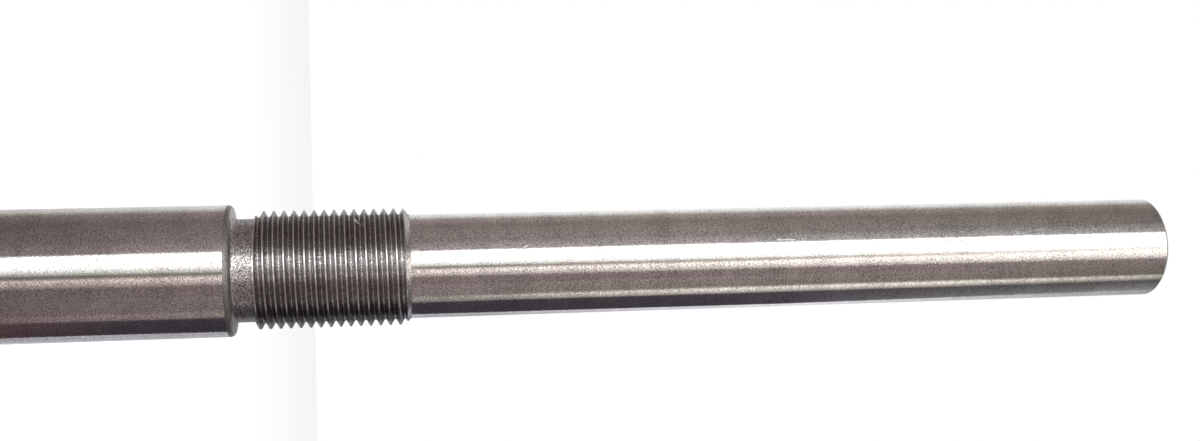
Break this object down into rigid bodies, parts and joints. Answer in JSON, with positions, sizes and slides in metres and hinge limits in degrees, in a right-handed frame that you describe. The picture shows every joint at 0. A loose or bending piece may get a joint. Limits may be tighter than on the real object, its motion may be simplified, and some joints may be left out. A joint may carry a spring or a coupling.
{
  "type": "stepped shaft",
  "caption": "Straight round steel shaft with a ground large journal, a shoulder, an undercut, a fine screw thread and a long slimmer ground journal.",
  "frame": {"origin": "centre of the large journal's end face, which the shaft stands on", "axes": "+Z along the shaft's axis, from the large journal's end up through the shoulder and the thread to the small journal's end; +X and +Y across it"},
  "size_m": [0.02, 0.02, 0.209],
  "materials": {
    "steel": "bright ground journals; turned matte relief and cut thread between them"
  },
  "bodies": {
    "root": {"stepped_shaft": "steel"}
  },
  "joints": []
}
